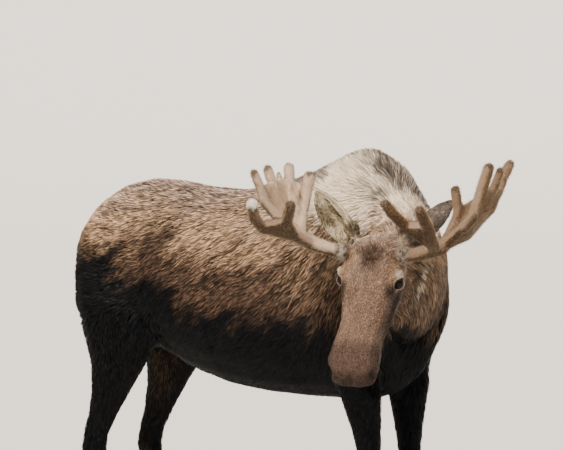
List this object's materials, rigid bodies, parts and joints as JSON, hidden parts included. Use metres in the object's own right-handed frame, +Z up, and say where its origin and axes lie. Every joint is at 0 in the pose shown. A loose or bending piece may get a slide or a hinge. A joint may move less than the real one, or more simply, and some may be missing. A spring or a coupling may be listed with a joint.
{
  "type": "bull moose",
  "caption": "Life-size standing bull moose with palmate antlers in velvet, shoulder hump, long hanging nose, throat bell and cloven hooves, head lowered and turned to its right.",
  "frame": {"origin": "on the floor, under the centre of the model's box; all four soles stand at zero height", "axes": "+Z up, the trunk faces -Y, +X to the animal's left; the head is turned towards -X"},
  "size_m": [1.5658, 2.4982, 1.94],
  "materials": {
    "coat": "matt, grizzled grey-brown hair",
    "leg_coat": "matt, short near-black hair",
    "face_coat": "matt, very short brown hair",
    "velvet": "matt, short dense velvet skin with pale hair ends",
    "horn": "satin black horn",
    "eye": "wet, glossy dark brown"
  },
  "bodies": {
    "root": {"ear_right": "coat", "antler_right_beam": "velvet", "antler_right_brow": "velvet", "antler_right_palm": "velvet", "ear_left": "coat", "antler_left_beam": "velvet", "antler_left_brow": "velvet", "antler_left_palm": "velvet", "bell": "coat", "eye_right": "eye", "eye_left": "eye", "head": "face_coat", "hoof_fore_right": "horn", "lower_leg_fore_right": "leg_coat", "upper_leg_fore_right": "leg_coat", "hoof_fore_left": "horn", "lower_leg_fore_left": "leg_coat", "upper_leg_fore_left": "leg_coat", "hoof_hind_right": "horn", "lower_leg_hind_right": "leg_coat", "upper_leg_hind_right": "leg_coat", "hoof_hind_left": "horn", "lower_leg_hind_left": "leg_coat", "upper_leg_hind_left": "leg_coat", "tail": "coat", "neck": "coat", "trunk": "coat"}
  },
  "joints": []
}
